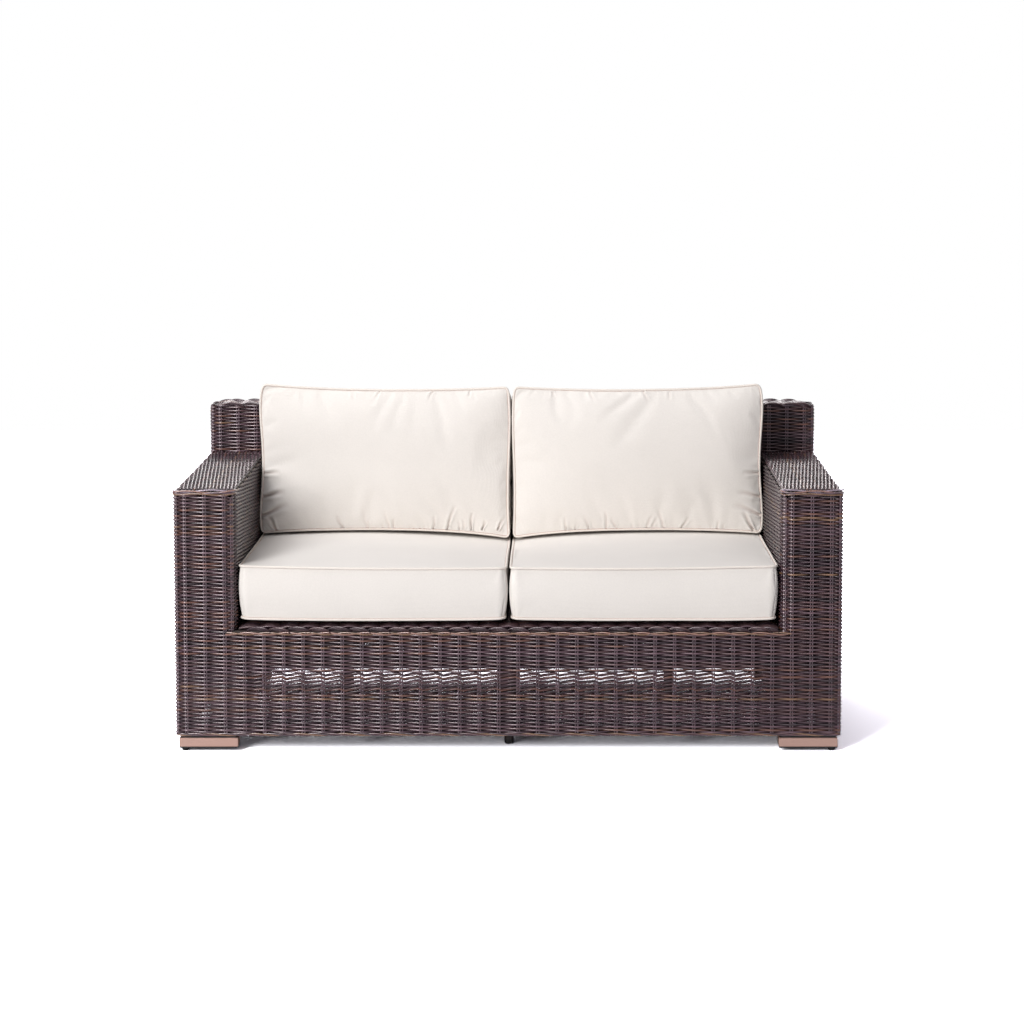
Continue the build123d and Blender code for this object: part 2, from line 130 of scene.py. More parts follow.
class Strands:
    """Collects round strands, each a line of middles with two directions across it."""

    def __init__(self):
        self.points = []
        self.quads = []
        self.tints = []
        self.count = 0

    def add(self, middles, outward, across, radius, tint, sides=6, closed=False, shine=1.0):
        """One strand. Its shine is painted shade: it dims its tint and is kept beside it, where the
        material also fades the gloss by it.
        """
        rings = len(middles)
        angles = np.arange(sides) * (2 * math.pi / sides)
        radius = np.broadcast_to(np.asarray(radius, dtype=float), (rings,))
        ring = outward[:, None, :] * np.cos(angles)[None, :, None]
        ring = ring + across[:, None, :] * np.sin(angles)[None, :, None]
        points = middles[:, None, :] + ring * radius[:, None, None]
        index = np.arange(rings * sides).reshape(rings, sides) + self.count
        here = index if closed else index[:-1]
        there = np.roll(index, -1, axis=0) if closed else index[1:]
        quads = [here, np.roll(here, -1, axis=1), np.roll(there, -1, axis=1), there]
        tint = np.asarray(tint, dtype=float)
        if tint.ndim == 1:
            tint = np.broadcast_to(tint, (rings, 3))
        # painted shade: the shine darkens the tint and goes in the alpha to dim the gloss
        depth = np.broadcast_to(np.asarray(shine, dtype=float), (rings,))
        colour = np.concatenate([tint * depth[:, None], depth[:, None]], axis=1)
        self.points.append(points.reshape(-1, 3))
        self.quads.append(np.stack(quads, axis=-1).reshape(-1, 4))
        self.tints.append(np.repeat(colour, sides, axis=0))
        self.count += rings * sides

    def take(self, other, matrix, offset=(0, 0, 0)):
        """Adds another collection, turned and moved."""
        matrix = np.array(matrix, dtype=float)
        for points, quads, tint in zip(other.points, other.quads, other.tints):
            self.points.append(points @ matrix.T + np.array(offset, dtype=float))
            self.quads.append(quads + self.count)
            self.tints.append(tint)
        self.count += other.count

    def piece(self, name, *replaced):
        """Makes the collection an object that stands for the CAD nodes named."""
        mesh = mesh_from(
            name, np.concatenate(self.points), np.concatenate(self.quads), np.concatenate(self.tints)
        )
        piece = new_object(name, mesh, wicker)
        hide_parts(*replaced)


# Materials


def new_material(name):
    material = bpy.data.materials.new(name)
    material.use_nodes = True
    tree = material.node_tree
    return material, tree, tree.nodes["Principled BSDF"]


def node(tree, kind, **values):
    """A shader node with the values of its inputs and of its own settings."""
    made = tree.nodes.new(kind)
    for key, value in values.items():
        if key in made.inputs:
            made.inputs[key].default_value = value
        else:
            setattr(made, key, value)
    return made


def set_inputs(made, values):
    for key, value in values.items():
        made.inputs[key].default_value = value


def link(source, output, target, socket):
    source.id_data.links.new(source.outputs[output], target.inputs[socket])


def mottle(tree, place, scale, detail, roughness, low, high):
    """Noise in the piece's own space, and that noise spread between two factors."""
    noise = node(tree, "ShaderNodeTexNoise", Scale=scale, Detail=detail, Roughness=roughness)
    link(place, "Object", noise, "Vector")
    spread = node(tree, "ShaderNodeMapRange")
    set_inputs(spread, {"To Min": low, "To Max": high})
    link(noise, "Fac", spread, "Value")
    return noise, spread


def shaded(tree, factor, output, colour=(1, 1, 1)):
    """A colour times a factor."""
    shade = node(tree, "ShaderNodeMix", data_type="RGBA", blend_type="MULTIPLY")
    set_inputs(shade, {"Factor": 1.0, "A": (*colour, 1)})
    link(factor, output, shade, "B")
    return shade


def add_bump(tree, shader, source, output, strength, distance):
    bump = node(tree, "ShaderNodeBump", Strength=strength, Distance=distance)
    link(source, output, bump, "Height")
    link(bump, "Normal", shader, "Normal")


def wicker_material():
    """Resin strands: streaked tints that carry painted shade, with a gloss that fades by the same
    painted shade where a strand runs back.
    """
    material, tree, shader = new_material("wicker")
    place = node(tree, "ShaderNodeTexCoord")
    tint = node(tree, "ShaderNodeVertexColor", layer_name="tint")
    streaks = mottle(tree, place, 60.0, 3.0, 0.6, 0.72, 1.28)[1]
    set_inputs(streaks, {"From Min": 0.25, "From Max": 0.75})
    shade = shaded(tree, streaks, "Result")
    link(tint, "Color", shade, "A")
    link(shade, "Result", shader, "Base Color")
    grain = node(tree, "ShaderNodeTexNoise", Scale=900.0, Detail=2.0, Roughness=0.6)
    link(place, "Object", grain, "Vector")
    add_bump(tree, shader, grain, "Fac", 0.25, 0.0004)
    # the tint's alpha is painted shade, and it dims the specular and the coat
    link(tint, "Alpha", shader, "Specular IOR Level")
    set_inputs(shader, {"Roughness": 0.31, "Specular Tint": (1.0, 0.82, 0.86, 1)})
    gloss = node(tree, "ShaderNodeMath", operation="POWER")
    set_inputs(gloss, {1: 2.0})
    link(tint, "Alpha", gloss, 0)
    link(gloss, "Value", shader, "Coat Weight")
    set_inputs(shader, {"Coat Roughness": 0.24, "Coat IOR": 1.7})
    return material


wicker = wicker_material()

# Tints of the resin strands, in linear light: plum brown, dark, grey and tan
tints = np.array([
    [0.086, 0.038, 0.044],
    [0.042, 0.017, 0.030],
    [0.110, 0.058, 0.078],
    [0.020, 0.009, 0.017],
    [0.220, 0.118, 0.064],
    [0.150, 0.062, 0.044],
    # light lavender, a painted highlight for the strand along the arms' upper front edge
    [0.280, 0.220, 0.290],
    [0.300, 0.150, 0.110],
])
tint_shares = np.array([0.36, 0.22, 0.20, 0.10, 0.05, 0.07, 0.0, 0.0])
# the stakes are tinted lighter than the rows: partly their own tone, partly painted light that makes
# up for the shade of the rows around them
stake_tint_with_painted_light = np.array([0.150, 0.098, 0.125])


def strand_tints(run):
    """Tints along one strand: it is joined from lengths of a metre or two."""
    edges = np.cumsum(rng.uniform(0.5, 2.6, 14))
    which = rng.choice(len(tints), size=15, p=tint_shares)
    picked = tints[which][np.searchsorted(edges, run - run[0])]
    return picked * rng.uniform(0.85, 1.15)


# Weave


def route_points(corners, radius, closed, marks):
    """Samples a level route at marks along it. The route turns at each corner by a small arc
    that keeps the corner's own mark at the arc's middle."""
    pts = np.array(corners, dtype=float)
    if closed:
        pts = np.vstack([pts, pts[:1]])
    ways = np.diff(pts, axis=0)
    lengths = np.linalg.norm(ways, axis=1)
    ways = ways / lengths[:, None]
    starts = np.concatenate([[0], np.cumsum(lengths)])
    total = starts[-1]
    where = np.clip(marks, 0, total) if not closed else np.mod(marks, total)
    span = np.clip(np.searchsorted(starts, where, side="right") - 1, 0, len(ways) - 1)
    local = where - starts[span]
    place = pts[span] + ways[span] * local[:, None]
    way = ways[span].copy()
    # points within the radius of a corner move to its arc
    turns = np.broadcast_to(np.asarray(radius, dtype=float), (len(pts),))
    for i in range(0 if closed else 1, len(pts) - 1):
        before = ways[i - 1] if i > 0 else ways[-1]
        after = ways[i]
        gap = where - starts[i]
        if closed:
            gap = np.where(gap > total / 2, gap - total, gap)
        near = np.abs(gap) < turns[i]
        if not near.any():
            continue
        t = ((gap[near] / turns[i] + 1) / 2)[:, None]
        p0 = pts[i] - before * turns[i]
        p2 = pts[i] + after * turns[i]
        place[near] = (1 - t) ** 2 * p0 + 2 * (t * (1 - t)) * pts[i] + t**2 * p2
        bend = (1 - t) * before + t * after
        way[near] = bend / np.linalg.norm(bend, axis=1)[:, None]
    return place, way


def stake_marks(corners, closed):
    """Marks of the stakes along a route, at an even pitch on each straight run, with one more
    at every corner, and the route's length."""
    pts = np.array(corners, dtype=float)
    if closed:
        pts = np.vstack([pts, pts[:1]])
    marks = []
    start = 0.0
    for i in range(len(pts) - 1):
        length = np.linalg.norm(pts[i + 1] - pts[i])
        count = max(1, round(length / stake_pitch))
        if i > 0 or closed:
            marks.append(start)
        marks.extend(start + (np.arange(count) + 0.5) * length / count)
        start += length
    return np.array(marks), start


# A strand bends beside each stake and half way to the next
steps_per_stake = np.array([0.0, 0.14, 0.5, 0.86])


def steps_over(low, high):
    """Places along the weave's count at which a strand bends, from low to high."""
    steps = (np.arange(math.floor(low), math.ceil(high) + 1)[:, None] + steps_per_stake).ravel()
    return steps[(steps > low + 0.05) & (steps < high - 0.05)]


def sway_at(count):
    """A strand's way in front of one stake and behind the next, straight between them."""
    slope = 2 * np.abs(np.mod(count, 2) - 1) - 1
    return swing * np.clip(1.12 * slope, -1, 1)


def painted_recess_shade(sway):
    """Painted shade: how much light a strand keeps where it runs back between its neighbours; the
    further back, the darker its tint and the fainter its gloss.
    """
    return 0.05 + 0.95 * np.clip(0.5 + 0.5 * sway / swing, 0, 1) ** 0.8


wave_starts = rng.uniform(0, 2 * math.pi, 12)


def unevenness(run, height):
    """Small slow waves that keep the rows from being ruler-straight."""
    total = 0.0
    for i, (a, b) in enumerate([(9, 31), (-17, 14), (31, -22), (4.5, 55)]):
        total = total + np.sin(a * run * 2.1 + b * height * 2.3 + wave_starts[i])
    return 0.00030 * total


def row_steps(marks, total, closed, ends):
    """The places along a route at which a row's strands bend or end, each with its place in
    the count of the stakes."""
    count = np.arange(len(marks))
    if closed:
        all_marks = np.concatenate([[marks[-1] - total], marks, [marks[0] + total]])
    else:
        before = marks[0] - (marks[1] - marks[0])
        all_marks = np.concatenate([[before], marks, [marks[-1] + (marks[-1] - marks[-2])]])
    all_counts = np.concatenate([[-1], count, [len(marks)]])
    if closed:
        phase = (count[:, None] + steps_per_stake).ravel()
    else:
        low, high = np.interp([0.0, total], all_marks, all_counts)
        phase = np.concatenate([[low], steps_over(low, high), [high]])
    run = np.interp(phase, all_counts, all_marks)
    run = np.unique(np.round(np.concatenate([run, ends]), 6))
    return run, np.interp(run, all_marks, all_counts)


def tightness(place, z, least):
    """How tightly a row is woven, from nought to one: tight at the rear and on the outer
    sides, and nearly so low on the arms' fronts."""
    rear = np.clip((place[:, 1] - mid_y + 0.03) / 0.02, 0, 1)
    outer = np.clip((np.abs(place[:, 0]) - mid_x + 0.01) / 0.005, 0, 1)
    outer = outer * np.clip((place[:, 1] + mid_y - 0.05) / 0.03, 0, 1)
    tight = np.maximum(np.maximum(rear, outer), least)
    if z < slit_high:
        beside = np.abs(place[:, 0]) > apron_reach
        tight = np.maximum(tight, np.where(beside, arm_front_tightness, 0.0))
    return tight


def painted_wall_shade(sway, place, way):
    """Painted shade: the light that a row keeps, less on the arms' inner sides and least far inside.
    """
    light = painted_recess_shade(sway)
    inside = (np.abs(place[:, 0]) < inner_x + 0.004) & (place[:, 1] < back_face_y + 0.002)
    inside &= np.abs(way[:, 1]) > 0.7
    deep_in = np.clip((place[:, 1] + mid_y) / 0.5, 0, 1)
    return np.where(inside, light**1.5 * (0.80 - 0.50 * deep_in), light)


def lay_wall(corners, closed, heights, first, cuts, radius=0.010, tight=0.0, size=strand):
    """Weaves a wall: one strand for each height, along a route that may change with the
    height. cuts lists the collections that take it, each as (strands, from, to) in metres
    along the route."""
    for j, z in enumerate(heights):
        route = corners(z) if callable(corners) else corners
        marks, total = stake_marks(route, closed)
        ends = np.array([end for cut in cuts for end in cut[1:] if 0 < end < total - 1e-6])
        run, phase = row_steps(marks, total, closed, ends)
        place, way = route_points(route, radius, closed, run)
        out = np.stack([-way[:, 1], way[:, 0]], axis=1)
        close = tightness(place, z, tight)
        loose = (slit_low < z < slit_high) & (np.abs(place[:, 0]) < apron_reach)
        loose &= place[:, 1] < 0
        flat = np.where(loose, loose_sway, 1.0)
        sway = flat * sway_at(phase + j + first) * (1 - tight_sway * close)
        slant = loose_slant * np.interp(np.mod(phase, 1), (0, 0.14, 0.86, 1), (0, -1, 1, 0))
        middles = np.zeros((len(run), 3))
        middles[:, :2] = place + out * sway[:, None]
        middles[:, 2] = z + unevenness(run, z)
        middles[:, 2] += loose * ((loose_pairing if j % 2 else -loose_pairing) - slant)
        outward = np.concatenate([out, np.zeros((len(run), 1))], axis=1)
        across = np.zeros((len(run), 3))
        across[:, 2] = row_height * np.where(loose, loose_height, close_height)
        across[:, 2] *= 1 + tight_height * close
        tint = strand_tints(run)
        thick = size * rng.uniform(0.95, 1.04)
        # painted shade of the row, passed to each strand as its shine
        light = painted_wall_shade(sway, place, way)
        for strands, start, stop in cuts:
            keep = (run >= start - 1e-6) & (run <= stop + 1e-6)
            whole = closed and keep.all()
            if keep.sum() < 2:
                continue
            picks = np.nonzero(keep)[0]
            if closed and not whole and stop >= total - 1e-6:
                picks = np.concatenate([picks, [0]])
            lines = middles[picks], outward[picks], across[picks]
            strands.add(*lines, thick, tint[picks], closed=whole, shine=light[picks])


def lay_stakes(corners, closed, z_from, z_to, cuts, radius=0.010):
    """Pairs of upright strands that the rows go round."""
    marks = stake_marks(corners, closed)[0]
    place, way = route_points(corners, radius, closed, marks)
    rings = max(2, int((z_to - z_from) / 0.05) + 1)
    z = np.linspace(z_from, z_to, rings)
    for mark, spot, along in zip(marks, place, way):
        out = np.tile([-along[1], along[0], 0.0], (rings, 1))
        side = np.tile([along[0], along[1], 0.0], (rings, 1))
        for strands, start, stop in cuts:
            if not start - 1e-6 <= mark < stop - 1e-6:
                continue
            for half in (-1, 1):
                middles = np.zeros((rings, 3))
                middles[:, :2] = spot + along * half * stake_half_gap
                middles[:, :2] += along * rng.normal(0, 0.0003, rings)[:, None]
                middles[:, 2] = z
                tint = stake_tint_with_painted_light * rng.uniform(0.7, 1.2)
                strands.add(middles, out, side, stake_radius, tint, sides=5)


# A stretch as long as any route, in metres
endless = 99

# Regions of the weave, each a piece of its own
left_arm, left_arm_inside, left_arm_cap = (Strands() for _ in range(3))
right_arm, right_arm_inside, right_arm_cap = (Strands() for _ in range(3))
back_low_skin, back_high_skin, back_inner_skin, back_crest = (Strands() for _ in range(4))
front_apron, roll, border, deck = (Strands() for _ in range(4))

apron_top = deck_top - 0.014

low_rows = np.arange(skin_low + 0.0024, apron_top - 0.004, row_pitch)
high_rows = np.arange(low_rows[-1] + row_pitch, arm_top - inset - 0.004, row_pitch)
back_rows = np.arange(high_rows[-1] + row_pitch, back_top - inset - 0.002, row_pitch)

ring = [(-mid_x, -mid_y), (-mid_x, mid_y), (mid_x, mid_y), (mid_x, -mid_y)]
depth_run = 2 * mid_y
width_run = 2 * mid_x
loop = 2 * depth_run + 2 * width_run
split = back_face_y + mid_y
arm_face = side_x - inset - arm_inner_x
right_start = 2 * depth_run + width_run - split
front_start = 2 * depth_run + width_run + arm_face
ring_cuts = [
    (left_arm, 0, split),
    (back_low_skin, split, right_start),
    (right_arm, right_start, front_start),
    (front_apron, front_start, loop - arm_face),
    (left_arm, loop - arm_face, loop),
]
lay_wall(ring, True, low_rows, 0, ring_cuts)
lay_stakes(ring, True, skin_low, apron_top, ring_cuts)

right_half = [(mid_x, mid_y), (mid_x, -mid_y), (inner_x, -mid_y), (inner_x, back_face_y)]
around = [(-x, y) for x, y in reversed(right_half)] + right_half
inner_run = back_face_y + mid_y
top_run = mid_x - inner_x
half_way = inner_run + top_run + split
whole_way = 2 * (inner_run + top_run + depth_run) + width_run
around_cuts = [
    (left_arm_inside, 0, inner_run),
    (left_arm, inner_run, half_way),
    (back_high_skin, half_way, whole_way - half_way),
    (right_arm, whole_way - half_way, whole_way - inner_run),
    (right_arm_inside, whole_way - inner_run, whole_way),
]
# the arms' inner front corners are rounder than the rest
turns_high = (0.010, 0.026, 0.009, 0.010, 0.010, 0.009, 0.026, 0.010)
lay_wall(around, False, high_rows, len(low_rows), around_cuts, turns_high)
lay_stakes(around, False, apron_top, arm_top - inset - 0.008, around_cuts, turns_high)


def back_ring(z):
    """The route round the back at a height: the ends round over into the top."""
    reach = mid_x
    over = z - (back_top - back_end_radius)
    if over > 0:
        reach = mid_x - back_end_radius + math.sqrt(max(0.0, back_end_radius**2 - over**2))
    return [(-reach, inner_y), (-reach, mid_y), (reach, mid_y), (reach, inner_y)]


lay_wall(back_ring, True, back_rows, len(low_rows) + len(high_rows), [(back_crest, 0, endless)])
lay_stakes(back_ring(0.7), True, arm_top - 0.01, back_top - inset - 0.002, [(back_crest, 0, endless)])

# The sitter's side of the back, between the arms
face = [(inner_x, inner_y), (-inner_x, inner_y)]
face_rows = np.arange(deck_top + 0.003, arm_top - inset - 0.004, row_pitch)
lay_wall(face, False, face_rows, 0, [(back_inner_skin, 0, endless)], tight=1.0)
lay_stakes(face, False, deck_top, arm_top, [(back_inner_skin, 0, endless)])


def twine(strands, path, outward, across, radius, spread, lay, number, tones):
    """A few strands laid round each other along a path, one turn in each lay."""
    steps = np.linalg.norm(np.diff(path, axis=0), axis=1)
    run = np.concatenate([[0], np.cumsum(steps)])
    for i in range(number):
        angle = 2 * math.pi * (run / lay + i / number)
        middles = path + outward * (spread * np.cos(angle))[:, None]
        middles = middles + across * (spread * np.sin(angle))[:, None]
        tint = tints[tones[i % len(tones)]] * rng.uniform(0.9, 1.15)
        strands.add(middles, outward, across, radius, tint)


def level_path(corners, closed, z, step):
    """A level path along a route, with its directions outward and up."""
    pts = np.array(corners, dtype=float)
    if closed:
        pts = np.vstack([pts, pts[:1]])
    total = np.linalg.norm(np.diff(pts, axis=0), axis=1).sum()
    marks = np.linspace(0, total, int(total / step) + 1)
    if closed:
        marks[-1] = total - 1e-7
    place, way = route_points(corners, 0.010, closed, marks)
    path = np.column_stack([place, np.full(len(marks), z)])
    out = np.column_stack([-way[:, 1], way[:, 0], np.zeros(len(marks))])
    return path, out, np.tile([0.0, 0.0, 1.0], (len(marks), 1))


def scallops(strands, corners, z_low, rise):
    """Overlapping leaves of bent-over stakes, one from each stake, finishing a top edge."""
    marks = stake_marks(corners, False)[0]
    for mark in [0.0, *marks[:-1]]:
        lift = rng.normal(0, 0.0006)
        for m in range(4):
            t = np.linspace(0, 1, 10)
            run = mark - 0.006 + t * (scallop_length - 0.004 * m)
            place, way = route_points(corners, 0.010, False, run)
            out = np.column_stack([-way[:, 1], way[:, 0], np.zeros(10)])
            swell = np.sin(math.pi * t) ** 0.6
            middles = np.column_stack([place, np.zeros(10)])
            middles += out * (scallop_depth * np.cos(math.pi * t) - 0.0012 * m)[:, None]
            middles[:, 2] = z_low + (rise - 0.0034 * m) * swell + lift + 0.0006 * m
            tint = tints[rng.choice([0, 1, 1, 3])] * rng.uniform(0.8, 1.15)
            up = np.tile([0.0, 0.0, 1.0], (10, 1))
            # painted shade: each leaf is dimmed, most at its ends, where it tucks under its neighbours
            strands.add(middles, out, up, 0.0023, tint, shine=0.35 + 0.35 * swell)


# Tops of the arms: the rows run from the back to the front and dip over the front edge
top_z = arm_top - inset
depth_pitch = 2 * mid_y / 18
for sign, strands in ((-1, left_arm_cap), (1, right_arm_cap)):
    low_z = high_rows[-1] + row_pitch
    section = [(-mid_x, low_z), (-mid_x, top_z), (-inner_x, top_z), (-inner_x, low_z)]
    total = 2 * (top_z - low_z) + mid_x - inner_x
    flip = np.array([-sign, 1.0, 1.0])
    marks = np.arange(row_pitch * 0.5, total, row_pitch)
    place, way = route_points(section, arm_top_radius, False, marks)
    for j, (spot, along) in enumerate(zip(place, way)):
        normal = np.array([-along[1], 0.0, along[0]])
        beside = np.array([along[0], 0.0, along[1]])
        y = -mid_y + (steps_over(-0.42, 15.8) + 0.5) * depth_pitch
        y = np.concatenate([-mid_y + np.array([-0.0008, 0.0022, 0.0060, 0.0115]), y, [back_face_y]])
        phase = (y + mid_y) / depth_pitch - 0.5
        calm = 1.0 if abs(normal[2]) > 0.92 else 0.55
        sway = calm * sway_at(phase + j)
        sway[:4] = [-0.0125, -0.0075, -0.0040, -0.0014]
        spots = np.tile([spot[0], 0.0, spot[1]], (len(y), 1))
        spots[:, 1] = y
        spots += normal * sway[:, None]
        spots += beside * (unevenness(y, j * row_pitch) * 0.8)[:, None]
        outward = np.tile(normal * flip, (len(y), 1))
        across = np.tile(beside * flip * -sign, (len(y), 1))
        # painted light: the tops' strands are tinted a quarter lighter than the walls', for the light
        # that falls on the top; their recesses get painted shade
        tint = strand_tints(y) * 1.25
        thick = strand * rng.uniform(0.94, 1.05)
        strands.add(spots * flip, outward, across, thick, tint, shine=painted_recess_shade(sway) ** 1.5)
    line = np.linspace(0, total, 24)
    place, way = route_points(section, arm_top_radius, False, line)
    outward = np.column_stack([-way[:, 1], np.zeros(24), way[:, 0]]) * flip
    across = np.tile([0.0, 1.0, 0.0], (24, 1))
    for k in range(16):
        y = -mid_y + (k + 0.5) * depth_pitch
        for half in (-1, 1):
            spots = np.column_stack([place[:, 0], np.full(24, y + half * stake_half_gap), place[:, 1]])
            strands.add(spots * flip, outward, across, stake_radius, tints[rng.choice(4)], sides=5)
    # two light strands and two darker ones below them finish the front's upper edge: the upper one
    # light lavender as a painted highlight, the other tan
    run = np.linspace(inner_run - 0.020, inner_run + top_run + 0.006, 40)
    place, way = route_points(around, turns_high, False, run)
    flip = np.array([sign, 1.0, 1.0])
    facing = np.column_stack([-way[:, 1], way[:, 0], np.zeros(40)])
    up = np.tile([0.0, 0.0, 1.0], (40, 1))
    start = rng.uniform(0, 6.3)
    for drop, tone, reach, turned in (
        (0.0046, 6, 0.0027, 0.0),
        (0.0070, 7, 0.0027, 3.1),
        (0.0108, 2, 0.0017, 0.9),
        (0.0136, 4, 0.0017, 4.2),
    ):
        wave = np.sin(2 * math.pi * run / 0.125 + start + turned)
        path = np.column_stack([place, arm_top - drop + reach * wave])
        path += facing * (inset - 0.0024 + 0.0012 * wave)[:, None]
        strands.add(path * flip, facing * flip, up, 0.0018, tints[tone])

# Top of the back, with its scalloped edge
flat = Strands()
cap_rows = np.arange(inner_y + 0.004, mid_y - 0.003, row_pitch)
cap_reach = mid_x - 0.016
lay_wall([(cap_reach, 0), (-cap_reach, 0)], False, cap_rows, 0, [(flat, 0, endless)])
turn = [[1, 0, 0], [0, 0, 1], [0, -1, 0]]
back_crest.take(flat, turn, (0, 0, back_top - inset - 0.003))
for edge_y, facing in ((inner_y - 0.002, -1), (mid_y + 0.002, 1)):
    edge_x = -facing * (mid_x - 0.012)
    edge = [(edge_x, edge_y), (-edge_x, edge_y)]
    scallops(back_crest, edge, back_top - scallop_drop, 0.0126)

# Apron's top: scalloped roll, and a pair of tan strands twined below it
edge = [(arm_inner_x - 0.002, front_y + 0.006), (-arm_inner_x + 0.002, front_y + 0.006)]
scallops(roll, edge, deck_top - scallop_drop, 0.0128)
edge = [(arm_inner_x + 0.03, front_y + 0.003), (-arm_inner_x - 0.03, front_y + 0.003)]
path, out, up = level_path(edge, False, deck_top - 0.0175, 0.0085)
twine(roll, path, out, up, 0.0019, 0.0027, 0.1, 2, (4, 7))

# Rope of three strands round the foot of the wicker
path, out, up = level_path(ring, True, skin_low - 0.0042, 0.009)
twine(border, path, out, up, 0.0022, 0.0023, 0.115, 3, (0, 4, 1))

# Seat deck, under the cushions
flat = Strands()
deck_rows = np.arange(front_y + 0.018, back_face_y + 0.008, deck_pitch)
deck_line = [(arm_inner_x - 0.003, 0), (-arm_inner_x + 0.003, 0)]
lay_wall(deck_line, False, deck_rows, 0, [(flat, 0, endless)], size=deck_strand)
lay_stakes(deck_line, False, deck_rows[0], deck_rows[-1], [(flat, 0, endless)])
deck.take(flat, turn, (0, 0, deck_top - 0.0062))

for strands, name, skin in (
    (front_apron, "front_apron_strands", "front_apron_weave"),
    (left_arm, "left_arm_strands", "left_arm_weave"),
    (right_arm, "right_arm_strands", "right_arm_weave"),
    (left_arm_inside, "left_arm_inner_strands", "left_arm_weave"),
    (right_arm_inside, "right_arm_inner_strands", "right_arm_weave"),
    (left_arm_cap, "left_arm_top_strands", "left_arm_weave"),
    (right_arm_cap, "right_arm_top_strands", "right_arm_weave"),
    (back_low_skin, "back_lower_strands", "back_weave"),
    (back_high_skin, "back_upper_strands", "back_weave"),
    (back_inner_skin, "back_face_strands", "back_weave"),
    (back_crest, "back_crest_strands", "back_weave"),
    (roll, "apron_top_roll", "seat_front_roll"),
    (border, "foot_rope_border", "base_border"),
    (deck, "deck_strands", "seat_deck_weave"),
):
    strands.piece(name, skin)


# Cushions


def along(values, share):
    """A smooth curve through evenly spaced values."""
    places = np.linspace(0, 1, len(values))
    return np.polyval(np.polyfit(places, values, len(values) - 1), share)


def cushion_shape(width, height, depths, corner, low_sides, high_sides, lifts, bulge, step):
    """A boxed cushion as a closed grid of quads. Across is the first axis, up its face the
    second and through it the third. depths are the low crown, boxing and high crown. Each of
    low_sides and high_sides tells how far that seam stands out at its left, right, low and
    high side, in even steps, and lifts how far each seam moves along the third axis."""
    low_crown, boxing, high_crown = depths
    n = int(round(width / step))
    m = int(round(height / step))
    p = np.linspace(-1, 1, n + 1)
    q = np.linspace(-1, 1, m + 1)
    p, q = np.meshgrid(p, q, indexing="ij")
    # crowd the grid towards the seams, so that their pull shows
    p = np.sin(p * math.pi / 2 * 0.86) / math.sin(math.pi / 2 * 0.86)
    q = np.sin(q * math.pi / 2 * 0.86) / math.sin(math.pi / 2 * 0.86)

    def plan(sides):
        x = p * width / 2
        y = q * height / 2
        over_x = np.maximum(np.abs(x) - (width / 2 - corner), 0)
        over_y = np.maximum(np.abs(y) - (height / 2 - corner), 0)
        both = (over_x > 0) & (over_y > 0)
        reach = np.maximum(over_x, over_y) / np.maximum(np.hypot(over_x, over_y), 1e-9)
        x = np.where(both, np.sign(x) * (width / 2 - corner + over_x * reach), x)
        y = np.where(both, np.sign(y) * (height / 2 - corner + over_y * reach), y)
        left, right, low, high = sides
        share_p = (p + 1) / 2
        share_q = (q + 1) / 2
        x = x - along(left, share_q) * (1 - share_p) ** 3 + along(right, share_q) * share_p**3
        y = y - along(low, share_p) * (1 - share_q) ** 3 + along(high, share_p) * share_q**3
        return x, y

    dome = ((1 - np.abs(p) ** 2.6) * (1 - np.abs(q) ** 2.6)) ** 0.55
    points = []
    grids = []
    for level, crown, sides, lift in (
        (0.0, -low_crown, low_sides, lifts[0]),
        (boxing, high_crown, high_sides, lifts[1]),
    ):
        x, y = plan(sides)
        z = level + crown * dome + lift(p, q)
        grids.append(np.arange(x.size).reshape(x.shape) + len(points) * x.size)
        points.append(np.column_stack([x.ravel(), y.ravel(), z.ravel()]))
    quads = []
    for g, way in zip(grids, (-1, 1)):
        block = np.stack([g[:-1, :-1], g[1:, :-1], g[1:, 1:], g[:-1, 1:]], axis=-1).reshape(-1, 4)
        quads.append(block[:, ::way])

    def rim(g):
        return np.concatenate([g[:-1, 0], g[-1, :-1], g[:0:-1, -1], g[0, :0:-1]])

    low_rim, high_rim = rim(grids[0]), rim(grids[1])
    layers = max(4, int(round(boxing / 0.010)))
    flat_points = np.concatenate(points)
    last = low_rim
    grown = [flat_points]
    total = len(flat_points)
    for k in range(1, layers):
        share = k / layers
        base = flat_points[low_rim] * (1 - share) + flat_points[high_rim] * share
        around = np.roll(base, -1, axis=0)[:, :2] - np.roll(base, 1, axis=0)[:, :2]
        out = np.column_stack([around[:, 1], -around[:, 0]])
        out /= np.linalg.norm(out, axis=1)[:, None]
        base[:, :2] += out * bulge * math.sin(math.pi * share) ** 0.6
        ring = np.arange(len(base)) + total
        total += len(base)
        grown.append(base)
        quads.append(np.column_stack([last, np.roll(last, -1), np.roll(ring, -1), ring]))
        last = ring
    quads.append(np.column_stack([last, np.roll(last, -1), np.roll(high_rim, -1), high_rim]))
    return np.concatenate(grown), np.concatenate(quads), low_rim, high_rim


